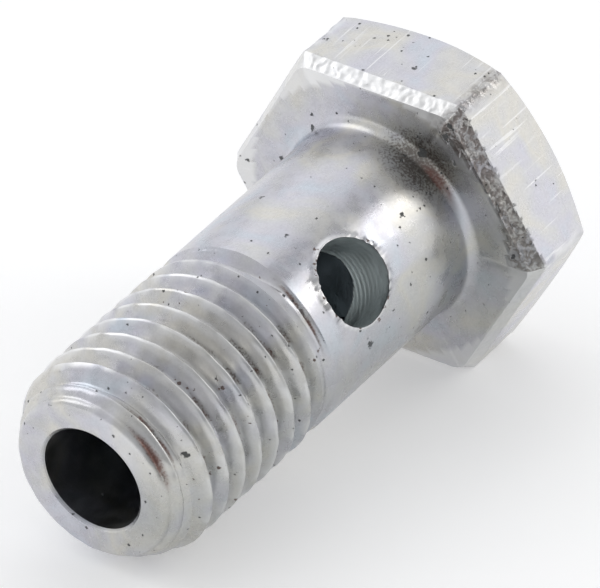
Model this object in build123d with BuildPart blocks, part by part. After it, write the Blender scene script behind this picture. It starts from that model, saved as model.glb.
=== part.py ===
import os
from math import atan2, ceil, cos, floor, radians, sin, tan

from build123d import *

# Banjo bolt, M12 x 1.5: one piece of zinc-plated steel with a forged hexagon head, a plain shank,
# a rolled thread, an axial oil bore that is open at the thread end, and one cross hole.
# It is shaped upright, with its thread end up, and then laid down as a loose bolt comes to rest:
# on the edge of one hex flat and on the end of its thread.
# The origin is the centre of the washer seat under the head, on the bolt's axis, and places
# along the bolt are counted from that seat. All sizes are in millimetres.

# Hexagon head
across_flats = 17.7
head_height = 6.65
head_corner_radius = 0.35
crown_diameter = 13.04
crown_angle = 29.0
seat_edge_height = 0.9
seat_edge_inset = 0.41
seat_corner_radius = 1.2

# Shank
shank_diameter = 11.85
shank_length = 12.1
seat_fillet = 0.65
shoulder_angle = 35.0
shoulder_fillet = 0.4

# Thread, M12 x 1.5 right-hand: the blank is necked beside the shank and swells to the full
# diameter. The groove's middle starts at groove_start, on the side of the flat that lies on top.
thread_diameter = 12.0
thread_pitch = 1.5
thread_angle = 60.0
groove_depth = 0.92
root_width = 0.25
groove_start = 13.44
groove_overcut = 0.1
neck_diameter = 11.2
neck_length = 0.7
swell_length = 1.9
bolt_length = 26.8

# Thread end
tip_diameter = 9.54
tip_length = 2.2
tip_fillet = 0.4

# Oil passages
bore_diameter = 6.15
bore_depth = 21.6
bore_mouth_chamfer = 0.15
drill_point_angle = 118.0
cross_hole_diameter = 4.95
cross_hole_place = 9.1
cross_hole_turn = -54.1

# Radii and places that follow from the sizes
shank_radius = shank_diameter / 2
thread_radius = thread_diameter / 2
root_radius = (thread_diameter - 2 * groove_depth) / 2
neck_radius = neck_diameter / 2
tip_radius = tip_diameter / 2
bore_radius = bore_diameter / 2
neck_start = shank_length + (shank_radius - neck_radius) / tan(radians(shoulder_angle))
neck_end = neck_start + neck_length
thread_start = neck_end + swell_length
tip_start = bolt_length - tip_length
groove_turns = ceil((bolt_length - groove_start) / thread_pitch)

flank_slope = tan(radians(thread_angle / 2))
crest_half_width = (thread_pitch - root_width) / 2 - (thread_radius - root_radius) * flank_slope

# One turn of the thread's groove: ruled faces between the helices of its four corners, closed by a
# flat face at each end. Its mouth is taken a little past the crests, so that it cuts them clean.
mouth_radius = thread_radius + groove_overcut
mouth_half_width = root_width / 2 + (mouth_radius - root_radius) * flank_slope
groove_corners = [
    (mouth_radius, -mouth_half_width),
    (root_radius, -root_width / 2),
    (root_radius, root_width / 2),
    (mouth_radius, mouth_half_width),
]
groove_helices = [
    Edge.make_helix(thread_pitch, thread_pitch, radius, center=(0, 0, groove_start + place))
    for radius, place in groove_corners
]
groove_faces = [
    Face.make_surface_from_curves(helix, following)
    for helix, following in zip(groove_helices, groove_helices[1:] + groove_helices[:1])
]
for end in (0, 1):
    corner_points = [helix.position_at(end) for helix in groove_helices]
    groove_faces.append(Face(Wire.make_polygon(corner_points, close=True)))
groove_turn = Solid(Shell(groove_faces))

with BuildPart() as upright_bolt:
    # Head, with its top at the lowest place
    with BuildSketch(Plane.XY.offset(-head_height)) as head_outline:
        RegularPolygon(radius=across_flats / 2, side_count=6, major_radius=False, rotation=30)
        fillet(head_outline.vertices(), radius=head_corner_radius)
    extrude(amount=head_height - seat_edge_height)
    # The forged edge draws in from the flats to the washer seat, with rounder corners.
    with BuildSketch(Plane.XY.offset(-seat_edge_height)) as edge_outline:
        RegularPolygon(radius=across_flats / 2, side_count=6, major_radius=False, rotation=30)
        fillet(edge_outline.vertices(), radius=head_corner_radius)
    with BuildSketch(Plane.XY) as seat_outline:
        RegularPolygon(
            radius=across_flats / 2 - seat_edge_inset, side_count=6, major_radius=False, rotation=30
        )
        fillet(seat_outline.vertices(), radius=seat_corner_radius)
    loft(ruled=True)
    # The crown: a cone takes the corners off the top of the head.
    crown_fall = (across_flats - crown_diameter / 2) * tan(radians(crown_angle))
    with BuildSketch(Plane.XZ):
        with BuildLine():
            Polyline(
                (crown_diameter / 2, -head_height),
                (across_flats, -head_height),
                (across_flats, -head_height + crown_fall),
                close=True,
            )
        make_face()
    revolve(axis=Axis.Z, mode=Mode.SUBTRACT)

    # Shank, thread blank and chamfered end, turned in one
    with BuildSketch(Plane.XZ) as turned_outline:
        with BuildLine():
            Polyline(
                (0, -seat_edge_height),
                (shank_radius + seat_fillet, -seat_edge_height),
                (shank_radius + seat_fillet, 0),
            )
            RadiusArc((shank_radius + seat_fillet, 0), (shank_radius, seat_fillet), seat_fillet)
            Polyline(
                (shank_radius, seat_fillet),
                (shank_radius, shank_length),
                (neck_radius, neck_start),
                (neck_radius, neck_end),
                (thread_radius, thread_start),
                (thread_radius, tip_start),
                (tip_radius, bolt_length),
                (0, bolt_length),
                (0, -seat_edge_height),
            )
        make_face()
        corners = turned_outline.vertices()
        fillet(corners.sort_by_distance((shank_radius, 0, shank_length))[0], shoulder_fillet)
        fillet(corners.sort_by_distance((tip_radius, 0, bolt_length))[0], tip_fillet)
    revolve(axis=Axis.Z)

    # The thread is cut turn by turn, each turn one pitch further along the bolt
    for turn in range(groove_turns):
        with Locations((0, 0, thread_pitch * turn)):
            add(groove_turn, mode=Mode.SUBTRACT)

    # Oil bore, drilled from the thread end, with a chamfered mouth and the drill's point left in
    drill_point = bore_radius / tan(radians(drill_point_angle / 2))
    with BuildSketch(Plane.XZ):
        with BuildLine():
            Polyline(
                (0, bolt_length),
                (bore_radius + bore_mouth_chamfer, bolt_length),
                (bore_radius, bolt_length - bore_mouth_chamfer),
                (bore_radius, bolt_length - bore_depth),
                (0, bolt_length - bore_depth - drill_point),
                close=True,
            )
        make_face()
    revolve(axis=Axis.Z, mode=Mode.SUBTRACT)

    # Cross hole through both walls of the bore
    cross_hole_way = (cos(radians(cross_hole_turn)), sin(radians(cross_hole_turn)), 0)
    with Locations(Plane(origin=(0, 0, cross_hole_place), z_dir=cross_hole_way)):
        Hole(radius=cross_hole_diameter / 2)

# Laid down, the bolt bears on the lower flat where it meets the seat's edge and on the far edge of
# the last full crest on the thread's underside, so its axis slopes down towards the thread end.
first_low_crest = groove_start + thread_pitch + crest_half_width
last_low_crest = first_low_crest + thread_pitch * floor((tip_start - first_low_crest) / thread_pitch)
rest_slope = atan2(across_flats / 2 - thread_radius, last_low_crest + seat_edge_height)
bolt_plane = Plane(
    origin=(0, 0, 0),
    x_dir=(-sin(rest_slope), 0, cos(rest_slope)),
    z_dir=(-cos(rest_slope), 0, -sin(rest_slope)),
)
with BuildPart() as banjo_bolt:
    with Locations(bolt_plane):
        add(upright_bolt.part)

banjo_bolt.part.label = "banjo_bolt"
os.makedirs("parts", exist_ok=True)
export_step(banjo_bolt.part, "parts/banjo_bolt.step")
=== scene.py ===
import math

import bpy
from mathutils import Matrix, Vector, noise


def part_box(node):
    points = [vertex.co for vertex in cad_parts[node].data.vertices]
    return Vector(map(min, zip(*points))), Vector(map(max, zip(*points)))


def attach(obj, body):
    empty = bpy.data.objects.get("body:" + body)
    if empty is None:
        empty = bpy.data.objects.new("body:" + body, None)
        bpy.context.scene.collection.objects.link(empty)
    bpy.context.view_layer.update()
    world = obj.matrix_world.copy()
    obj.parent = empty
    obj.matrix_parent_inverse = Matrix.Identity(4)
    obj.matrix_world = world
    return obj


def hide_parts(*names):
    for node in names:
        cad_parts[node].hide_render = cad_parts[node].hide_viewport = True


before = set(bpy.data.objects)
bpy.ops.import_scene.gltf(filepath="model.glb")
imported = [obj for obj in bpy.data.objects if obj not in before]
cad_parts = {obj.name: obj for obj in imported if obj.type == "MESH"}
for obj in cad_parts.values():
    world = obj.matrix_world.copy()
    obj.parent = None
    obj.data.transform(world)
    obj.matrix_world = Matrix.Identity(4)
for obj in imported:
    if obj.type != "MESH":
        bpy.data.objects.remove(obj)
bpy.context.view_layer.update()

# Banjo bolt M12 x 1.5 in zinc-plated steel, lying on one hex edge and on the end of its thread.
# The bolt is shaped upright in millimetres: z = 0 is the washer seat, +z runs to the thread end,
# and turns are degrees about the bolt's axis, counted from the flat that ends up on top.
millimetre = 0.001
noiseStart = Vector((31.7, 12.3, 7.9))    # moves every wear pattern at once
spinSteps = 360
smoothAngle = 36.0


def deselectAll():
    if bpy.context.object and bpy.context.object.mode != "OBJECT":
        bpy.ops.object.mode_set(mode="OBJECT")
    bpy.ops.object.select_all(action="DESELECT")


def applyModifiers(obj):
    deselectAll()
    obj.select_set(True)
    bpy.context.view_layer.objects.active = obj
    for mod in list(obj.modifiers):
        bpy.ops.object.modifier_apply(modifier=mod.name)


def smoothStep(x):
    x = min(max(x, 0.0), 1.0)
    return x * x * (3 - 2 * x)


def turnOf(co):
    return math.degrees(math.atan2(co.y, co.x))


def turnGap(a, b):
    return (a - b + 180) % 360 - 180


def bump(x, middle, width):
    return math.exp(-((x - middle) / width) ** 2)


def grain(x, y, z, size):
    return noise.noise(Vector((x, y, z)) / size + noiseStart)


def spinProfile(name, points, steps, closed=False):
    # one vertex is extruded along the outline, and the outline is spun about z
    deselectAll()
    bpy.ops.mesh.primitive_plane_add(size=1, location=(0, 0, 0))
    obj = bpy.context.object
    obj.name = name
    bpy.ops.object.mode_set(mode="EDIT")
    bpy.ops.mesh.select_all(action="SELECT")
    bpy.ops.mesh.merge(type="CENTER")
    bpy.ops.transform.translate(value=(points[0][0], 0, points[0][1]))
    ends = points[1:] + points[:1] if closed else points[1:]
    here = points[0]
    for there in ends:
        step = (there[0] - here[0], 0, there[1] - here[1])
        bpy.ops.mesh.extrude_region_move(TRANSFORM_OT_translate={"value": step})
        here = there
    bpy.ops.mesh.select_all(action="SELECT")
    bpy.ops.mesh.remove_doubles(threshold=1e-5)
    bpy.ops.mesh.select_all(action="SELECT")
    if steps:
        bpy.ops.mesh.spin(steps=steps, angle=2 * math.pi, center=(0, 0, 0), axis=(0, 0, 1))
        bpy.ops.mesh.select_all(action="SELECT")
        bpy.ops.mesh.remove_doubles(threshold=1e-4)
        bpy.ops.mesh.normals_make_consistent(inside=False)
    bpy.ops.object.mode_set(mode="OBJECT")
    return obj


def between(start, end, count):
    # count points from start to end, without the start
    return [
        (start[0] + (end[0] - start[0]) * i / count, start[1] + (end[1] - start[1]) * i / count)
        for i in range(1, count + 1)
    ]


def arcPoints(centre, radius, fromAngle, toAngle, count):
    # count points round an arc, without its start
    out = []
    for i in range(1, count + 1):
        a = math.radians(fromAngle + (toAngle - fromAngle) * i / count)
        out.append((centre[0] + radius * math.cos(a), centre[1] + radius * math.sin(a)))
    return out


head = dict(
    acrossFlats=17.7,
    height=6.65,
    cornerRadius=0.35,
    crownDiameter=13.04,
    crownAngle=29.0,
    edgeHeight=0.9,
    edgeInset=0.41,
    seatCornerRadius=1.2,
)

shank = dict(
    diameter=11.85,
    seatFillet=0.65,
    shoulderStart=12.88,
    shoulderLength=0.5,
    stepTurn=-41.0,       # here the shoulder ends in a thin rolled line
    stepReach=28.0,
    stepPlace=13.25,
    stepWidth=0.1,
    stepDepth=0.09,
    stepShift=0.2,
    stepShare=0.4,
)

threadBlank = dict(
    diameter=12.0,
    neckDiameter=11.44,
    swellStart=13.5,
    swellEnd=14.6,
    end=26.8,
    tipDiameter=9.34,
    tipLength=2.2,
    tipRadius=0.42,
    tipRings=[(26.34, 0.13, -0.09), (26.02, 0.13, 0.05), (25.74, 0.07, -0.08)],    # place, width, rise
)

bore = dict(diameter=6.15, depth=21.6, mouthChamfer=0.15, pointAngle=118.0)


def hexRadius(turn, apothem, corner):
    # distance from the axis to a hexagon with rounded corners; a flat faces every 60 degrees
    off = abs((turn + 30) % 60 - 30)
    a = math.radians(off)
    straight = (apothem - corner) * math.tan(math.radians(30))
    if apothem * math.tan(a) <= straight:
        return apothem / math.cos(a)
    centre = (apothem - corner, straight)
    along = math.cos(a) * centre[0] + math.sin(a) * centre[1]
    return along + math.sqrt(along * along - centre[0] ** 2 - centre[1] ** 2 + corner * corner)


def gatherAtCorners(turn):
    # brings the mesh lines closer together at the six corners
    flat = 60 * round(turn / 60)
    off = turn - flat
    w = 1 - abs(off) / 30
    w = w * (0.4 + 0.6 * w)
    return flat + math.copysign(30 * (1 - w), off)


def linePlace(turn):
    # the rolled line climbs a little towards the top flat
    return shank["stepPlace"] - 0.35 * bump(turn, -8, 22)


def neckRadius(z, turn):
    # the shank steps down into the neck, which swells again to the thread
    shankR = shank["diameter"] / 2
    neckR = threadBlank["neckDiameter"] / 2
    side = bump(turn, shank["stepTurn"], shank["stepReach"])
    start = shank["shoulderStart"] + shank["stepShift"] * side - 0.25 * bump(turn, 25, 32)
    down = smoothStep((z - start) / (shank["shoulderLength"] * (1 - shank["stepShare"] * side)))
    line = shank["stepDepth"] * side * bump(z, linePlace(turn), shank["stepWidth"])
    swell = (z - threadBlank["swellStart"]) / (threadBlank["swellEnd"] - threadBlank["swellStart"])
    swell = min(max(swell, 0), 1)
    return shankR + (neckR - shankR) * down + (threadBlank["diameter"] / 2 - neckR) * swell - line


def shapeNeck(obj):
    for v in obj.data.vertices:
        r = v.co.xy.length
        if v.co.z > shank["shoulderStart"] and v.co.z < threadBlank["swellEnd"] and r > 4.5:
            push = neckRadius(v.co.z, turnOf(v.co)) / r
            v.co.x *= push
            v.co.y *= push


def blankProfile():
    apothem = head["acrossFlats"] / 2
    crown = head["crownDiameter"] / 2
    rise = math.tan(math.radians(head["crownAngle"]))
    shankR = shank["diameter"] / 2
    threadR = threadBlank["diameter"] / 2
    tipR = threadBlank["tipDiameter"] / 2
    boreR = bore["diameter"] / 2
    end = threadBlank["end"]
    fillet = shank["seatFillet"]
    top = -head["height"]

    points = [(0, top)]
    points += between((0, top), (crown, top), 6)
    crownEdge = (apothem, top + (apothem - crown) * rise)
    points += between((crown, top), crownEdge, 6)
    flatEnd = (apothem, -head["edgeHeight"])
    points += between(crownEdge, flatEnd, 13)
    seatRim = (apothem - head["edgeInset"], 0)
    points += between(flatEnd, seatRim, 8)
    filletStart = (shankR + fillet, 0)
    points += between(seatRim, filletStart, 9)
    points += arcPoints((shankR + fillet, fillet), fillet, -90, -180, 9)
    points += between((shankR, fillet), (shankR, shank["shoulderStart"]), 16)
    rings = between((shankR, shank["shoulderStart"]), (shankR, threadBlank["swellEnd"]), 24)
    points += [(neckRadius(z, 0), z) for _, z in rings]
    tipStart = end - threadBlank["tipLength"]
    points += between((threadR, threadBlank["swellEnd"]), (threadR, tipStart), 3)
    # chamfered end with a rounded rim
    lean = math.atan2(threadR - tipR, threadBlank["tipLength"])
    turnLeft = math.pi / 2 - lean
    back = threadBlank["tipRadius"] * math.tan(turnLeft / 2)
    rimStart = (tipR + back * math.sin(lean), end - back * math.cos(lean))
    points += between((threadR, tipStart), (rimStart[0] + 1.1 * math.tan(lean), rimStart[1] - 1.1), 2)
    for r, z in between(points[-1], rimStart, 16):
        rise = sum(height * bump(z, place, width) for place, width, height in threadBlank["tipRings"])
        points.append((r + rise, z))
    rimCentre = (tipR - back, end - threadBlank["tipRadius"])
    points += arcPoints(rimCentre, threadBlank["tipRadius"], math.degrees(lean), 90, 8)
    mouth = boreR + bore["mouthChamfer"]
    points += between(points[-1], (mouth, end), 5)
    points += between((mouth, end), (boreR, end - bore["mouthChamfer"]), 3)
    bottom = end - bore["depth"]
    points += between((boreR, end - bore["mouthChamfer"]), (boreR, bottom), 6)
    point = bottom - boreR / math.tan(math.radians(bore["pointAngle"] / 2))
    points += between((boreR, bottom), (0, point), 2)
    return points


def forgeHexagon(obj):
    # the round head is pushed out to the hexagon, ring by ring
    apothem = head["acrossFlats"] / 2
    crown = head["crownDiameter"] / 2
    rise = math.tan(math.radians(head["crownAngle"]))
    top = -head["height"]
    edge = -head["edgeHeight"]
    crownEnd = top + (apothem - crown) * rise
    seatRim = apothem - head["edgeInset"]
    filletRim = shank["diameter"] / 2 + shank["seatFillet"]
    near = 1e-3
    for v in obj.data.vertices:
        r = math.hypot(v.co.x, v.co.y)
        z = v.co.z
        if z > near or r < crown - near and z > top + near:
            continue
        if r <= crown + near and z < top + near:
            continue
        if z > -near and r < filletRim - near:
            continue
        turn = turnOf(v.co)
        forged = gatherAtCorners(turn)
        full = hexRadius(forged, apothem, head["cornerRadius"])
        seat = hexRadius(forged, apothem - head["edgeInset"], head["seatCornerRadius"])
        if z < crownEnd - near:
            share = (r - crown) / (apothem - crown)
            newTurn = turn + turnGap(forged, turn) * share
            full = hexRadius(newTurn, apothem, head["cornerRadius"])
            r = crown + (full - crown) * share
            z = top + (r - crown) * rise
        elif z < edge + near:
            share = (z - edge) / (crownEnd - edge)
            newTurn = forged
            r = full
            z = edge + (top + (full - crown) * rise - edge) * share
        elif z < -near:
            share = (z - edge) / -edge
            newTurn = forged
            r = full + (seat - full) * share
        else:
            share = (seatRim - r) / (seatRim - filletRim)
            newTurn = forged + turnGap(turn, forged) * share
            seat = hexRadius(newTurn, apothem - head["edgeInset"], head["seatCornerRadius"])
            r = seat + (filletRim - seat) * share
        a = math.radians(newTurn)
        v.co = (r * math.cos(a), r * math.sin(a), z)


headWear = dict(
    flatWave=0.03,
    flatWaveSize=3.2,
    edgeWidth=0.34,
    edgeLoss=0.06,
    dents=[(-2.8, 0.42, 0.16), (-3.9, 0.5, 0.14), (-1.6, 0.35, 0.08)],    # place, width, depth
    dentedCorner=-30.0,
    ribDepth=0.05,
    crumpleDepth=0.13,
    burrHeight=0.07,
    crumpledFlat=-60,
)


def splitStrips(obj):
    # the bevel round the seat gets a finer mesh for its dents
    deselectAll()
    obj.select_set(True)
    bpy.context.view_layer.objects.active = obj
    bpy.ops.object.mode_set(mode="EDIT")
    bpy.ops.mesh.select_mode(type="FACE")
    bpy.ops.mesh.select_all(action="DESELECT")
    bpy.ops.object.mode_set(mode="OBJECT")
    for polygon in obj.data.polygons:
        place = polygon.center
        polygon.select = -head["edgeHeight"] < place.z < -0.005 and place.xy.length > 7
    bpy.ops.object.mode_set(mode="EDIT")
    bpy.ops.mesh.subdivide(number_cuts=1)
    bpy.ops.mesh.select_mode(type="VERT")
    bpy.ops.object.mode_set(mode="OBJECT")


def stripRelief(flat, along, share):
    # height of the bevel's surface: ribs pressed across it, or steel that was crumpled
    if flat == headWear["crumpledFlat"]:
        bent = along / 0.46 + 0.8 * grain(along, share, 2, 0.7)
        folds = abs(grain(bent, share * 2.4, 4, 1.0)) * 1.7
        folds += 0.7 * abs(grain(bent * 2.1, share * 5.0, 6, 1.0))
        burr = math.exp(-((share - 0.97) / 0.07) ** 2) * (0.7 + grain(along, 0, 8, 0.5))
        lip = 0.6 * math.exp(-((share - 0.03) / 0.06) ** 2) * (0.6 + grain(along, 1, 8, 0.4))
        return headWear["burrHeight"] * (burr + lip) - headWear["crumpleDepth"] * folds
    bent = along + 0.25 * grain(along, share, flat, 0.6)
    ribs = grain(bent / 0.32, share * 1.6, flat, 1.0) + 0.6 * grain(bent / 0.17, share * 4, flat, 1.0)
    return headWear["ribDepth"] * (ribs - 0.25)


def wearHead(obj):
    obj.data.update()
    normals = [v.normal.copy() for v in obj.data.vertices]
    seatRim = head["acrossFlats"] / 2 - head["edgeInset"]
    for v, normal in zip(obj.data.vertices, normals):
        r = v.co.xy.length
        z = v.co.z
        if z > 0.001 or r < head["crownDiameter"] / 2 + 0.3:
            continue
        turn = turnOf(v.co)
        flat = 60 * round(turn / 60) % 360
        flat = flat - 360 if flat > 180 else flat
        along = r * math.sin(math.radians(turnGap(turn, flat)))
        toCorner = r * math.radians(30 - abs(turnGap(turn, flat)))
        move = -headWear["flatWave"] * (0.5 + grain(v.co.x, v.co.y, z, headWear["flatWaveSize"]))
        corner = math.exp(-(toCorner / headWear["edgeWidth"]) ** 2)
        worn = 0.6 + 1.2 * grain(flat, 0, z, 0.55) + 0.5 * grain(flat, 3, z, 0.2)
        move -= headWear["edgeLoss"] * corner * max(worn, 0)
        if z < -0.001:
            near = math.radians(abs(turnGap(turn, headWear["dentedCorner"]))) * r
            for place, width, depth in headWear["dents"]:
                gap = math.hypot(near, z - place) / width
                ring = 0.35 * math.exp(-((gap - 1.2) / 0.3) ** 2)
                move -= depth * (math.exp(-gap * gap * 1.5) - ring)
        share = (z + head["edgeHeight"]) / head["edgeHeight"]
        if 0.02 < share and z < 0.0005 and r > seatRim - 0.05:
            fade = min(1, 0.35 + 3 * share) * min(1, 0.45 + 3 * (1 - share))
            fade *= smoothStep((toCorner - 0.15) / 0.5)
            move += fade * stripRelief(flat, along, share)
        v.co += normal * move


def wearShank(obj):
    # the shank, the neck and the thread are slightly uneven, the crests most
    for v in obj.data.vertices:
        r = v.co.xy.length
        if v.co.z < 0.8 or r < bore["diameter"] / 2 + 0.3:
            continue
        if v.co.z < shank["shoulderStart"]:
            gap = holeDistance(v.co)[0] - crossHole["diameter"] / 2
            if gap > 0.05:
                push = 1 + 0.006 * grain(v.co.x, v.co.y, v.co.z, 2.4) / r
                v.co.x *= push
                v.co.y *= push
            continue
        size = thread["waveSize"]
        x, y, z = v.co
        shift = Vector((grain(x, y, z, size), grain(y, z, x, size), 1.3 * grain(z, x, y, size)))
        v.co += thread["wave"] * smoothStep((z - shank["shoulderStart"]) / 2) * shift


thread = dict(
    pitch=1.5,
    wave=0.035,
    waveSize=0.8,
    grooveStart=13.44,    # full depth is reached here, on the top flat's side
    leadIn=66.0,
    rootRadius=5.08,
    rootWidth=0.25,
    stepsPerTurn=160,
    turns=10,
)


def grooveSection():
    # half outline of the groove from root to crest, with a rounded root and rolled-over crests
    crestR = threadBlank["diameter"] / 2
    root = thread["rootRadius"]
    half = thread["rootWidth"] / 2
    flank = math.tan(math.radians(30))
    upper = half + (crestR - 0.09 - root) * flank
    side = [
        (root, 0.04),
        (root + 0.02, half * 0.75),
        (root + 0.07, half + 0.05),
        (root + 0.30, half + 0.30 * flank),
        (root + 0.55, half + 0.55 * flank),
        (crestR - 0.09, upper),
        (crestR - 0.045, upper + 0.045),
        (crestR - 0.015, upper + 0.10),
        (crestR + 0.004, thread["pitch"] / 2 - 0.012),
        (crestR + 0.40, thread["pitch"] / 2 - 0.012),
    ]
    return side + [(r, -z) for r, z in reversed(side)]


def makeGroove():
    pitch = thread["pitch"]
    start = thread["grooveStart"] - pitch * thread["leadIn"] / 360
    section = [(r, z + start) for r, z in grooveSection()]
    obj = spinProfile("threadGroove", section, 0, closed=True)
    screw = obj.modifiers.new("screw", "SCREW")
    screw.axis = "Z"
    screw.angle = 2 * math.pi
    screw.screw_offset = pitch
    screw.steps = thread["stepsPerTurn"]
    screw.render_steps = thread["stepsPerTurn"]
    screw.iterations = thread["turns"]
    applyModifiers(obj)
    bpy.ops.object.mode_set(mode="EDIT")
    bpy.ops.mesh.select_all(action="DESELECT")
    bpy.ops.mesh.select_mode(type="EDGE")
    bpy.ops.mesh.select_non_manifold(extend=False)
    bpy.ops.mesh.edge_face_add()
    bpy.ops.mesh.select_all(action="DESELECT")
    bpy.ops.mesh.select_mode(type="VERT")
    bpy.ops.mesh.select_all(action="SELECT")
    bpy.ops.mesh.normals_make_consistent(inside=False)
    bpy.ops.object.mode_set(mode="OBJECT")
    # the roller lifts out of the steel over the first part of a turn
    lift = threadBlank["diameter"] / 2 - thread["rootRadius"] + 0.35
    for v in obj.data.vertices:
        turn = turnOf(v.co) % 360
        whole = round((v.co.z - start) / pitch - turn / 360)
        along = turn + 360 * whole
        r = math.hypot(v.co.x, v.co.y)
        r += lift * (1 - smoothStep(along / thread["leadIn"]))
        a = math.radians(turn - thread["leadIn"])
        v.co = (r * math.cos(a), r * math.sin(a), v.co.z)
    return obj


crossHole = dict(
    diameter=4.95,
    place=9.1,
    turn=-54.1,
    reach=8.0,
    lipHeight=0.13,
    lipWidth=0.15,
    ringPitch=0.34,
    ringDepth=0.0045,
    sides=96,
)


def crossHoleAxis():
    a = math.radians(crossHole["turn"])
    return Vector((math.cos(a), math.sin(a), 0))


def makeCrossDrill():
    radius = crossHole["diameter"] / 2
    reach = crossHole["reach"]
    rings = int(2 * reach / (crossHole["ringPitch"] / 4))
    points = [(0, -reach)]
    for i in range(rings + 1):
        z = -reach + 2 * reach * i / rings
        uneven = 1 + 1.5 * grain(0, 0, z, 0.9)
        wave = uneven * math.cos(2 * math.pi * z / crossHole["ringPitch"])
        points.append((radius + crossHole["ringDepth"] * wave, z))
    points.append((0, reach))
    obj = spinProfile("crossDrill", points, crossHole["sides"])
    a = math.radians(crossHole["turn"])
    lay = Matrix.Rotation(a, 4, "Z") @ Matrix.Rotation(math.pi / 2, 4, "Y")
    obj.data.transform(Matrix.Translation((0, 0, crossHole["place"])) @ lay)
    return obj


def holeDistance(co):
    # distance of a point from the cross hole's axis, and the angle round it
    axis = crossHoleAxis()
    side = axis.cross(Vector((0, 0, 1)))
    x = co.dot(side)
    y = co.z - crossHole["place"]
    return math.hypot(x, y), math.atan2(y, x)


def raiseLip(obj):
    # the drill has pushed up a thin lip round both mouths
    radius = crossHole["diameter"] / 2
    deselectAll()
    obj.select_set(True)
    bpy.context.view_layer.objects.active = obj
    shankR = shank["diameter"] / 2
    bpy.ops.object.mode_set(mode="EDIT")
    bpy.ops.mesh.select_mode(type="FACE")
    bpy.ops.mesh.select_all(action="DESELECT")
    bpy.ops.object.mode_set(mode="OBJECT")
    for polygon in obj.data.polygons:
        d, _ = holeDistance(polygon.center)
        outside = polygon.center.xy.length > shankR - 0.3
        polygon.select = outside and radius - 0.3 < d < radius + 0.6
    bpy.ops.object.mode_set(mode="EDIT")
    bpy.ops.mesh.subdivide(number_cuts=2)
    bpy.ops.mesh.select_mode(type="VERT")
    bpy.ops.object.mode_set(mode="OBJECT")
    for v in obj.data.vertices:
        r = v.co.xy.length
        if r < shankR - 0.3:
            continue
        d, a = holeDistance(v.co)
        if d > radius + 1.0:
            continue
        ragged = 0.7 + 0.6 * grain(math.cos(a) * 4, math.sin(a) * 4, 0, 1.0)
        ragged += 0.7 * grain(math.cos(a) * 14, math.sin(a) * 14, 2, 1.0)
        rise = crossHole["lipHeight"] * ragged
        off = (d - radius) / crossHole["lipWidth"]
        push = 1 + rise * math.exp(-off * off) / r
        v.co.x *= push
        v.co.y *= push


def cut(obj, tool):
    mod = obj.modifiers.new("cut", "BOOLEAN")
    mod.operation = "DIFFERENCE"
    mod.object = tool
    mod.solver = "MANIFOLD"
    applyModifiers(obj)
    bpy.data.objects.remove(tool, do_unlink=True)


def layMatrix():
    # turns the upright bolt to where it rests
    pitch = thread["pitch"]
    tipStart = threadBlank["end"] - threadBlank["tipLength"]
    depth = threadBlank["diameter"] / 2 - thread["rootRadius"]
    crestHalf = (pitch - thread["rootWidth"]) / 2 - depth * math.tan(math.radians(30))
    lowCrest = thread["grooveStart"] + pitch + crestHalf
    lowCrest += pitch * math.floor((tipStart - lowCrest) / pitch)
    drop = head["acrossFlats"] / 2 - threadBlank["diameter"] / 2
    slope = math.atan2(drop, lowCrest + head["edgeHeight"])
    up = Vector((-math.sin(slope), 0, math.cos(slope)))
    along = Vector((-math.cos(slope), 0, -math.sin(slope)))
    across = Vector((0, 1, 0))
    return Matrix((up, across, along)).transposed().to_4x4()


plating = dict(
    roughness=0.27,
    blue=(0.535, 0.575, 0.63, 1),
    lavender=(0.56, 0.555, 0.60, 1),
    plain=(0.575, 0.575, 0.585, 1),
    cream=(0.615, 0.60, 0.56, 1),
    # shadeGrey is painted shade: on the side towards the floor and as a haze round the stains
    shadeGrey=(0.27, 0.29, 0.27, 1),
    tintSize=3.4,
    worn=(0.86, 0.86, 0.86, 1),
    # the stain and rust colours also paint shade and dark reflections
    stainAndShade=(0.10, 0.075, 0.065, 1),
    rustAndShade=(0.20, 0.09, 0.07, 1),
    pit=(0.045, 0.05, 0.05, 1),
    grime=(0.115, 0.065, 0.05, 1),
    # inside is painted shade for the bore
    inside=(0.11, 0.13, 0.145, 1),
    drilled=(0.76, 0.82, 0.82, 1),
    crumpled=(0.22, 0.19, 0.18, 1),
)

# where the bolt is soiled, and where shade is painted on it: turns and reaches are degrees, places and
# lengths millimetres
soil = dict(
    mouthShade=0.3,        # painted shade: the bore is this dark at its mouth, and wholly dark further in
    mouthReach=10.0,
    stainShadeTurn=-31.0,      # dark stain and painted shade over the fillet under the head
    stainShadeReach=23.0,
    stainShadePlace=0.6,
    stainShadeLength=1.65,
    filletRustTurn=-45.0,
    filletRustReach=13.0,
    filletRustPlace=0.35,
    filletRustLength=0.3,
    neckStart=12.0,
    lineShadowTurn=-48.0,       # painted shadow, dark red-brown, in the rolled line's step
    lineShadowReach=22.0,
    lineShadowWidth=0.09,
    sideShadeTurn=-102.0,      # painted shade, grey, on the side towards the floor
    sideShadeReach=42.0,
    sideShadeStrength=0.4,
    grimeTurn=-52.0,      # grime in the thread
    grimeReach=42.0,
    dullTurn=-38.0,       # dull zinc on the thread
    dullReach=30.0,
    dullStrength=0.32,
    bandReflectionTurn=-54.0,       # rust in the two rings of the chamfered end, with a painted dark reflection in the band and painted shade in the ring
    ringShadeTurn=-42.0,
    tipReach=24.0,
    tipFace=4.4,          # the flat end inside this radius stays clean
)

markNames = ("inside", "drilled", "stainAndShade", "rustAndShade", "grime", "sideShade", "worn", "crumple", "seat", "flats")


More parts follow.
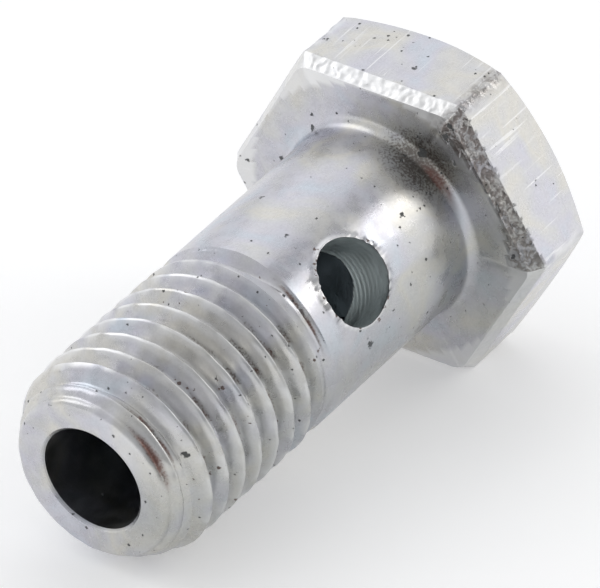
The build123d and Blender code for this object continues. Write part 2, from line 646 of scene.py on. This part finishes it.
def shankMarks(z, r, turn, onShank):
    # the fillet's stain and rust with painted shade, the rolled line's painted shadow, and painted shade on
    # the side below
    filletRim = shank["diameter"] / 2 + shank["seatFillet"]
    seatRim = head["acrossFlats"] / 2 - head["edgeInset"]
    found = {"flats": smoothStep((-head["edgeHeight"] - z) / 0.2)}
    if z > -head["edgeHeight"]:
        # painted shade: the side towards the floor is greyed
        found["sideShade"] = soil["sideShadeStrength"] * bump(turn, soil["sideShadeTurn"], soil["sideShadeReach"])
    if -0.02 < z < 0.75 and r < seatRim * 1.2:
        found["seat"] = 1.0
    up = z if onShank else filletRim - r
    if -1.6 < up < 4.5:
        # painted shade: the fillet is darkened along with its stain
        side = bump(turn, soil["stainShadeTurn"], soil["stainShadeReach"])
        found["stainAndShade"] = side * bump(up, soil["stainShadePlace"], soil["stainShadeLength"])
        side = bump(turn, soil["filletRustTurn"], soil["filletRustReach"])
        found["rustAndShade"] = side * bump(up, soil["filletRustPlace"], soil["filletRustLength"])
    if onShank and z > soil["neckStart"]:
        # painted shadow of the step, in stain and rust colours
        line = bump(z, linePlace(turn), soil["lineShadowWidth"]) * bump(turn, soil["lineShadowTurn"], soil["lineShadowReach"])
        found["stainAndShade"] = 0.9 * line
        found["rustAndShade"] = line
    return found


def threadMarks(found, co, r, turn):
    # grime on the flanks, dirt and painted shade in the roots, bright crests, and rust with a painted dark
    # reflection and painted shade in the end's rings
    x, y, z = co
    root = thread["rootRadius"]
    side = 0.15 + 0.85 * bump(turn, soil["grimeTurn"], soil["grimeReach"])
    clean = smoothStep((threadBlank["end"] - 1.6 - z) / 1.0)
    patch = smoothStep(2.2 * grain(x, y, z, 1.9) + 0.25)
    low = 0.22 + 0.78 * smoothStep((root + 0.55 - r) / 0.4)
    found["grime"] = patch * side * low * clean
    crest = smoothStep((r - threadBlank["diameter"] / 2 + 0.16) / 0.12)
    crest *= smoothStep(0.7 + 2 * grain(x, y, z, 0.9))
    dull = soil["dullStrength"] * bump(turn, soil["dullTurn"], soil["dullReach"])
    found["worn"] = max(dull, 0.75 * crest)
    # painted shade: the roots are darkened, partly as dirt
    dirtAndShade = smoothStep((root + 0.24 - r) / 0.18) * side * clean
    dirtAndShade *= smoothStep(0.6 + 2 * grain(x, y, z, 1.6))
    stainAndShade = 0.7 * dirtAndShade
    rustAndShade = 0.5 * dirtAndShade
    if r > soil["tipFace"]:
        band, _, ring = threadBlank["tipRings"]
        # rust and a painted dark reflection in the band, rust and painted shade in the ring
        tip = bump(z, band[0] + 0.05, 0.22) * bump(turn, soil["bandReflectionTurn"], soil["tipReach"])
        tip += bump(z, ring[0], 0.08) * bump(turn, soil["ringShadeTurn"], soil["tipReach"])
        stainAndShade = max(stainAndShade, 0.85 * tip)
        rustAndShade = max(rustAndShade, tip)
    found["stainAndShade"] = max(found.get("stainAndShade", 0.0), stainAndShade)
    found["rustAndShade"] = max(found.get("rustAndShade", 0.0), rustAndShade)


def bevelMarks(found, co, r, turn):
    # the bevel under the head and the head's corners are worn bright or crumpled
    flat = 60 * round(turn / 60)
    if (co.z + head["edgeHeight"]) / head["edgeHeight"] > 0.03:
        if flat == headWear["crumpledFlat"]:
            found["crumple"] = 1.0
        elif flat == 0:
            found["worn"] = 0.85
        else:
            found["worn"] = 0.6
    toCorner = r * math.radians(30 - abs(turnGap(turn, flat)))
    corner = bump(toCorner, 0, 0.3) * smoothStep(0.6 + 2 * grain(co.x, co.y, co.z, 0.6))
    found["worn"] = max(found.get("worn", 0.0), 0.7 * corner)
    toDents = abs(turnGap(turn, headWear["dentedCorner"])) * math.radians(r)
    found["crumple"] = max(found.get("crumple", 0.0), 0.6 * bump(toDents, 0, 0.45))


def marksAt(co):
    r = co.xy.length
    turn = turnOf(co)
    gap = holeDistance(co)[0] - crossHole["diameter"] / 2
    onShank = co.z > 0 and r < shank["diameter"] / 2 + shank["seatFillet"]
    if r < bore["diameter"] / 2 + 0.06:
        # painted shade: the bore darkens further in
        deep = smoothStep((threadBlank["end"] - co.z) / soil["mouthReach"])
        return {"inside": soil["mouthShade"] + (1 - soil["mouthShade"]) * deep}
    if gap < 0.03 and onShank and r < shank["diameter"] / 2 - 0.05:
        return {"drilled": 1.0}
    found = shankMarks(co.z, r, turn, onShank)
    if co.z > thread["grooveStart"] - 0.4 and r > bore["diameter"] / 2 + 0.3:
        threadMarks(found, co, r, turn)
    if abs(gap) < 0.3 and onShank:
        found["worn"] = 0.8 * bump(gap, 0.06, 0.10)
        found["grime"] = bump(gap, 0.08, 0.16)
    if co.z < 0.02 and r > head["acrossFlats"] / 2 - head["edgeInset"] - 0.02:
        bevelMarks(found, co, r, turn)
    return found


def paintWear(obj):
    # how much each point is stained, grimy, worn bright or inside a drilled hole, and where shade is
    # painted on it
    marks = {name: [0.0] * len(obj.data.vertices) for name in markNames}
    for i, v in enumerate(obj.data.vertices):
        for name, value in marksAt(v.co).items():
            marks[name][i] = value
    for name, values in marks.items():
        layer = obj.data.attributes.new(name, "FLOAT", "POINT")
        layer.data.foreach_set("value", values)


def addNode(tree, kind, sockets=None, **settings):
    # a socket's value is a number, a colour or another node's output
    node = tree.nodes.new(kind)
    for name, value in settings.items():
        setattr(node, name, value)
    for socket, value in (sockets or {}).items():
        if isinstance(value, bpy.types.NodeSocket):
            tree.links.new(value, node.inputs[socket])
        else:
            node.inputs[socket].default_value = value
    return node


def maths(tree, operation, a, b=0.0, clamp=False):
    node = addNode(tree, "ShaderNodeMath", {0: a, 1: b}, operation=operation, use_clamp=clamp)
    return node.outputs[0]


def ramp(tree, value, low, high, toLow=0.0, toHigh=1.0):
    # a soft step of value from low to high
    sockets = {"Value": value, "From Min": low, "From Max": high, "To Min": toLow, "To Max": toHigh}
    node = addNode(tree, "ShaderNodeMapRange", sockets, interpolation_type="SMOOTHSTEP")
    return node.outputs["Result"]


def mix(tree, share, a, b, way="MIX"):
    sockets = {0: share, 6: a, 7: b}
    return addNode(tree, "ShaderNodeMix", sockets, data_type="RGBA", blend_type=way).outputs[2]


def cloud(tree, place, size, detail=2.0, distortion=0.0):
    sockets = {"Vector": place, "Scale": 1 / size, "Detail": detail, "Distortion": distortion}
    return addNode(tree, "ShaderNodeTexNoise", sockets).outputs["Fac"]


def newGroup(name, inputs, outputs):
    # inputs and outputs are (name, socket type, value) rows
    group = bpy.data.node_groups.new(name, "ShaderNodeTree")
    for label, kind, value in inputs:
        socket = group.interface.new_socket(label, in_out="INPUT", socket_type=kind)
        if value is not None:
            socket.default_value = value
    for label, kind in outputs:
        group.interface.new_socket(label, in_out="OUTPUT", socket_type=kind)
    return group, group.nodes.new("NodeGroupInput").outputs, group.nodes.new("NodeGroupOutput").inputs


def makeSpecks():
    # scattered ragged specks: cell is their spacing, density the share of cells that hold one
    rows = [
        ("Vector", "NodeSocketVector", None),
        ("Cell", "NodeSocketFloat", 1.0),
        ("Density", "NodeSocketFloat", 0.3),
        ("Reach", "NodeSocketFloat", 0.4),
    ]
    group, source, target = newGroup("specks", rows, [("Mask", "NodeSocketFloat")])
    scale = maths(group, "DIVIDE", 1.0, source["Cell"])
    wobbleSize = maths(group, "MULTIPLY", scale, 2.6)
    wobble = addNode(group, "ShaderNodeTexNoise", {"Vector": source["Vector"], "Scale": wobbleSize})
    reach = maths(group, "MULTIPLY", source["Cell"], 0.7)
    off = addNode(group, "ShaderNodeVectorMath", {0: wobble.outputs["Color"], 1: (0.5, 0.5, 0.5)},
                  operation="SUBTRACT")
    shift = addNode(group, "ShaderNodeVectorMath", {0: off.outputs[0], "Scale": reach},
                    operation="SCALE")
    place = addNode(group, "ShaderNodeVectorMath", {0: source["Vector"], 1: shift.outputs[0]})
    cells = addNode(group, "ShaderNodeTexVoronoi", {"Vector": place.outputs[0], "Scale": scale})
    chance = addNode(group, "ShaderNodeSeparateColor", {0: cells.outputs["Color"]}).outputs[0]
    rare = maths(group, "SUBTRACT", 1.0, source["Density"])
    luck = maths(group, "SUBTRACT", chance, rare)
    size = maths(group, "MULTIPLY", luck, source["Reach"])
    size = maths(group, "DIVIDE", size, maths(group, "MAXIMUM", source["Density"], 0.001))
    inner = maths(group, "SUBTRACT", size, cells.outputs["Distance"])
    group.links.new(ramp(group, inner, -0.02, 0.06), target["Mask"])
    return group


def makeScratches():
    # fine straight scratches along the bolt
    rows = [("Vector", "NodeSocketVector", None), ("Density", "NodeSocketFloat", 0.5)]
    group, source, target = newGroup("scratches", rows, [("Mask", "NodeSocketFloat")])
    drawn = addNode(group, "ShaderNodeMapping", {"Vector": source["Vector"], "Scale": (1, 1, 0.035)})
    fine = cloud(group, drawn.outputs[0], 0.22, 2.0)
    long = addNode(group, "ShaderNodeMapping", {"Vector": source["Vector"], "Scale": (0.9, 0.9, 0.35)})
    where = cloud(group, long.outputs[0], 1.3, 1.0)
    line = ramp(group, fine, 0.61, 0.68)
    place = ramp(group, where, 0.40, 0.54)
    mask = maths(group, "MULTIPLY", maths(group, "MULTIPLY", line, place), source["Density"])
    group.links.new(mask, target["Mask"])
    return group


def useGroup(tree, group, sockets):
    node = tree.nodes.new("ShaderNodeGroup")
    node.node_tree = group
    for name, value in sockets.items():
        if isinstance(value, bpy.types.NodeSocket):
            tree.links.new(value, node.inputs[name])
        else:
            node.inputs[name].default_value = value
    return node.outputs["Mask"]


def platedColour(tree, place, grainy, mottled):
    # patches of cream, lavender and blue over grey
    tint = cloud(tree, place, plating["tintSize"], 2.5, 0.5)
    colours = addNode(tree, "ShaderNodeValToRGB", {"Fac": tint})
    stops = colours.color_ramp.elements
    stops[0].position = 0.30
    stops[0].color = plating["blue"]
    stops[1].position = 0.74
    stops[1].color = plating["plain"]
    for position, name in ((0.42, "lavender"), (0.50, "plain"), (0.61, "cream")):
        stops.new(position).color = plating[name]
    shade = maths(tree, "ADD", ramp(tree, grainy, 0.25, 0.75, -0.045, 0.045), 1.0)
    shade = maths(tree, "ADD", shade, ramp(tree, mottled, 0.3, 0.7, -0.06, 0.06))
    grey = addNode(tree, "ShaderNodeCombineColor", {0: shade, 1: shade, 2: shade}).outputs[0]
    return mix(tree, 1.0, colours.outputs["Color"], grey, "MULTIPLY")


def wornColour(tree, colour, marks, scraped, folds):
    # worn edges show bright; crumpled steel is brown between light folds
    colour = mix(tree, marks["worn"], colour, plating["worn"])
    colour = mix(tree, scraped, colour, plating["worn"])
    dark = maths(tree, "MULTIPLY", marks["crumple"], ramp(tree, folds, 0.42, 0.56, 0.25, 0.9))
    return mix(tree, dark, colour, plating["crumpled"])


def stainedAndShadedColour(tree, colour, marks, grainy, mottled):
    # stains break up into specks at their edges, in a grey haze of painted shade; the stain and rust
    # colours also paint shade and dark reflections
    # painted shade: grey on the side towards the floor, and a grey haze round each stain
    colour = mix(tree, marks["sideShade"], colour, plating["shadeGrey"])
    shadeHaze = maths(tree, "MULTIPLY", ramp(tree, marks["stainAndShade"], 0.06, 0.7), 0.36)
    colour = mix(tree, shadeHaze, colour, plating["shadeGrey"])
    broken = maths(tree, "ADD", marks["stainAndShade"], ramp(tree, grainy, 0.3, 0.7, -0.35, 0.35))
    stainAndShadeCore = maths(tree, "MULTIPLY", ramp(tree, broken, 0.35, 1.0), 0.72)
    colour = mix(tree, stainAndShadeCore, colour, plating["stainAndShade"])
    rustyAndShaded = maths(tree, "MULTIPLY", ramp(tree, marks["rustAndShade"], 0.15, 0.9), ramp(tree, mottled, 0.3, 0.6))
    return mix(tree, maths(tree, "MULTIPLY", rustyAndShaded, 0.8), colour, plating["rustAndShade"])


def makePits(tree, place, marks, specks):
    # pits in the plating: larger ones, most of them on the seat, and fine ones
    patches = ramp(tree, cloud(tree, place, 5.0, 1.0), 0.42, 0.62)
    onSeat = maths(tree, "ADD", maths(tree, "MULTIPLY", marks["seat"], 0.5), 0.02)
    often = maths(tree, "MULTIPLY", onSeat, maths(tree, "ADD", patches, 0.35))
    large = useGroup(tree, specks, {"Vector": place, "Cell": 0.8, "Density": often, "Reach": 0.34})
    some = maths(tree, "MULTIPLY", maths(tree, "ADD", patches, 0.3), 0.07)
    fine = useGroup(tree, specks, {"Vector": place, "Cell": 0.26, "Density": some, "Reach": 0.38})
    return maths(tree, "MAXIMUM", large, fine)


def makeDirt(tree, place, marks, specks):
    # clots of grime in the thread and round the cross hole
    clots = ramp(tree, cloud(tree, place, 0.75, 1.0), 0.55, 0.66, 0.04, 1.0)
    thick = maths(tree, "MULTIPLY", maths(tree, "MULTIPLY", marks["grime"], clots), 0.95)
    return useGroup(tree, specks, {"Vector": place, "Cell": 0.22, "Density": thick, "Reach": 0.6})


def zincRoughness(tree, marks, mottled, foul):
    rough = maths(tree, "ADD", plating["roughness"], ramp(tree, mottled, 0.3, 0.7, -0.04, 0.08))
    rough = maths(tree, "ADD", rough, maths(tree, "MULTIPLY", marks["worn"], 0.12))
    rough = maths(tree, "ADD", rough, maths(tree, "MULTIPLY", marks["crumple"], 0.12))
    drilled = maths(tree, "ADD", marks["inside"], marks["drilled"])
    rough = maths(tree, "ADD", rough, maths(tree, "MULTIPLY", drilled, 0.2))
    return maths(tree, "ADD", rough, maths(tree, "MULTIPLY", foul, 0.3), clamp=True)


def zincRelief(tree, place, marks, grainy, pitted, scraped, folds):
    # heights are millimetres
    relief = maths(tree, "MULTIPLY", grainy, 0.003)
    swell = cloud(tree, place, 0.5, 2.0)
    relief = maths(tree, "ADD", relief, maths(tree, "MULTIPLY", swell, 0.006))
    relief = maths(tree, "SUBTRACT", relief, maths(tree, "MULTIPLY", pitted, 0.03))
    relief = maths(tree, "SUBTRACT", relief, maths(tree, "MULTIPLY", scraped, 0.006))
    folded = maths(tree, "MULTIPLY", maths(tree, "MULTIPLY", folds, marks["crumple"]), 0.12)
    relief = maths(tree, "ADD", relief, folded)
    sockets = {"Height": relief, "Distance": millimetre, "Strength": 1.0}
    return addNode(tree, "ShaderNodeBump", sockets).outputs["Normal"]


def zincPlate():
    mat = bpy.data.materials.new("zincPlate")
    mat.use_nodes = True
    tree = mat.node_tree
    shader = tree.nodes["Principled BSDF"]
    # patterns are laid out upright in millimetres, as the bolt was shaped
    lay = layMatrix().to_3x3().inverted().to_euler()
    source = addNode(tree, "ShaderNodeTexCoord").outputs["Object"]
    scale = 1 / millimetre
    sockets = {"Vector": source, "Rotation": lay, "Scale": (scale, scale, scale)}
    place = addNode(tree, "ShaderNodeMapping", sockets).outputs[0]
    marks = {
        name: addNode(tree, "ShaderNodeAttribute", attribute_name=name).outputs["Fac"]
        for name in markNames
    }
    grainy = cloud(tree, place, 0.13, 2.0)
    mottled = cloud(tree, place, 0.9, 3.0)
    folds = cloud(tree, place, 0.34, 3.0, 0.8)
    onFlats = maths(tree, "MULTIPLY", marks["flats"], 0.5)
    scraped = useGroup(tree, makeScratches(), {"Vector": place, "Density": onFlats})
    specks = makeSpecks()
    pitted = makePits(tree, place, marks, specks)
    dirtAndShade = makeDirt(tree, place, marks, specks)
    foul = maths(tree, "MAXIMUM", pitted, dirtAndShade)

    colour = platedColour(tree, place, grainy, mottled)
    colour = wornColour(tree, colour, marks, scraped, folds)
    colour = stainedAndShadedColour(tree, colour, marks, grainy, mottled)
    colour = mix(tree, maths(tree, "MULTIPLY", pitted, 0.85), colour, plating["pit"])
    colour = mix(tree, maths(tree, "MULTIPLY", dirtAndShade, 0.85), colour, plating["grime"])
    colour = mix(tree, marks["drilled"], colour, plating["drilled"])
    # painted shade inside the bore
    colour = mix(tree, marks["inside"], colour, plating["inside"])
    metal = maths(tree, "SUBTRACT", 1.0, maths(tree, "MULTIPLY", foul, 0.7), clamp=True)
    relief = zincRelief(tree, place, marks, grainy, pitted, scraped, folds)
    tree.links.new(colour, shader.inputs["Base Color"])
    tree.links.new(metal, shader.inputs["Metallic"])
    tree.links.new(zincRoughness(tree, marks, mottled, foul), shader.inputs["Roughness"])
    tree.links.new(relief, shader.inputs["Normal"])
    return mat


blank = spinProfile("boltSteel", blankProfile(), spinSteps)
print("blank spun:", len(blank.data.vertices))
shapeNeck(blank)
forgeHexagon(blank)
splitStrips(blank)
wearHead(blank)
raiseLip(blank)
print("head forged and worn, lip raised:", len(blank.data.polygons))
cut(blank, makeGroove())
print("thread rolled:", len(blank.data.polygons))
cut(blank, makeCrossDrill())
wearShank(blank)
paintWear(blank)
print("cross hole drilled:", len(blank.data.polygons))
blank.data.transform(layMatrix() @ Matrix.Scale(millimetre, 4))
deselectAll()
blank.select_set(True)
bpy.context.view_layer.objects.active = blank
bpy.ops.object.shade_smooth_by_angle(angle=math.radians(smoothAngle))
blank.name = "bolt_steel"
blank.data.materials.clear()
blank.data.materials.append(zincPlate())
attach(blank, "root")
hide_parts("banjo_bolt")
blank.data.calc_loop_triangles()
print("bolt finished, triangles:", len(blank.data.loop_triangles))


studio = dict(
    floorRadius=3.0,
    floorColour=(0.90, 0.90, 0.90, 1),
    floorLift=0.26,
    roomColour=(0.97, 0.98, 1.0, 1),
    brightSide=80.0,
    roomDark=0.42,
    roomBright=0.91,
    lampDistance=0.9,
    # name, turn and height in degrees round the bolt, size, brightness of the face, colour
    lamps=[
        ("sideLamp", -42, 38, 0.42, 2.0, (1.0, 0.98, 0.95)),
        ("lowLamp", -53, 14, 0.55, 0.85, (1, 1, 1)),
        ("backLamp", 50, 52, 0.9, 0.3, (1, 1, 1)),
        ("leftLamp", 105, 40, 0.6, 0.9, (1, 1, 1)),
    ],
    cameraPlace=(-0.332911, -0.223169, 0.240275),
    cameraTurn=(58.5444, -0.7659, -55.0820),
    cameraLens=517.33,
)


def makeFloor():
    low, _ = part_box("banjo_bolt")
    deselectAll()
    bpy.ops.mesh.primitive_circle_add(
        vertices=64, radius=studio["floorRadius"], fill_type="NGON", location=(0, 0, 0)
    )
    floor = bpy.context.object
    floor.name = "floor"
    floor.data.transform(Matrix.Translation((0, 0, low.z)))
    mat = bpy.data.materials.new("paleFloor")
    mat.use_nodes = True
    tree = mat.node_tree
    shader = tree.nodes["Principled BSDF"]
    shader.inputs["Base Color"].default_value = studio["floorColour"]
    shader.inputs["Roughness"].default_value = 0.9
    shader.inputs["Emission Color"].default_value = (1, 1, 1, 1)
    # it looks a little paler than it is lit, also in reflections
    path = addNode(tree, "ShaderNodeLightPath").outputs
    seen = maths(tree, "MAXIMUM", path["Is Camera Ray"], path["Is Glossy Ray"])
    seen = maths(tree, "MAXIMUM", seen, path["Is Transmission Ray"])
    lift = maths(tree, "MULTIPLY", seen, studio["floorLift"])
    tree.links.new(lift, shader.inputs["Emission Strength"])
    floor.data.materials.append(mat)


def makeWorld():
    # a soft room: the side behind the bolt is brighter than the side in front of it
    world = bpy.data.worlds.new("studio")
    bpy.context.scene.world = world
    world.use_nodes = True
    tree = world.node_tree
    back = tree.nodes["Background"]
    back.inputs["Color"].default_value = studio["roomColour"]
    around = addNode(tree, "ShaderNodeTexCoord").outputs["Generated"]
    turn = math.radians(studio["brightSide"])
    towards = (math.cos(turn), math.sin(turn), 0)
    facing = addNode(tree, "ShaderNodeVectorMath", {0: around, 1: towards}, operation="DOT_PRODUCT")
    level = ramp(tree, facing.outputs["Value"], -0.9, 0.9, studio["roomDark"], studio["roomBright"])
    tree.links.new(level, back.inputs["Strength"])


def makeLamp(name, turn, height, size, level, colour):
    data = bpy.data.lights.new(name, "AREA")
    data.shape = "DISK"
    data.size = size
    data.energy = level * math.pi * math.pi * size * size / 4
    data.color = colour
    lamp = bpy.data.objects.new(name, data)
    bpy.context.collection.objects.link(lamp)
    a = math.radians(turn)
    h = math.radians(height)
    way = Vector((math.cos(a) * math.cos(h), math.sin(a) * math.cos(h), math.sin(h)))
    lamp.location = way * studio["lampDistance"]
    lamp.rotation_euler = way.to_track_quat("Z", "Y").to_euler()


def makeCamera():
    data = bpy.data.cameras.new("camera")
    data.sensor_width = 36
    data.lens = studio["cameraLens"]
    data.clip_start = 0.01
    camera = bpy.data.objects.new("camera", data)
    bpy.context.collection.objects.link(camera)
    camera.location = studio["cameraPlace"]
    camera.rotation_euler = [math.radians(a) for a in studio["cameraTurn"]]
    bpy.context.scene.camera = camera


makeFloor()
makeWorld()
for lamp in studio["lamps"]:
    makeLamp(*lamp)
makeCamera()
bpy.context.scene.view_settings.view_transform = "Standard"
print("studio ready")
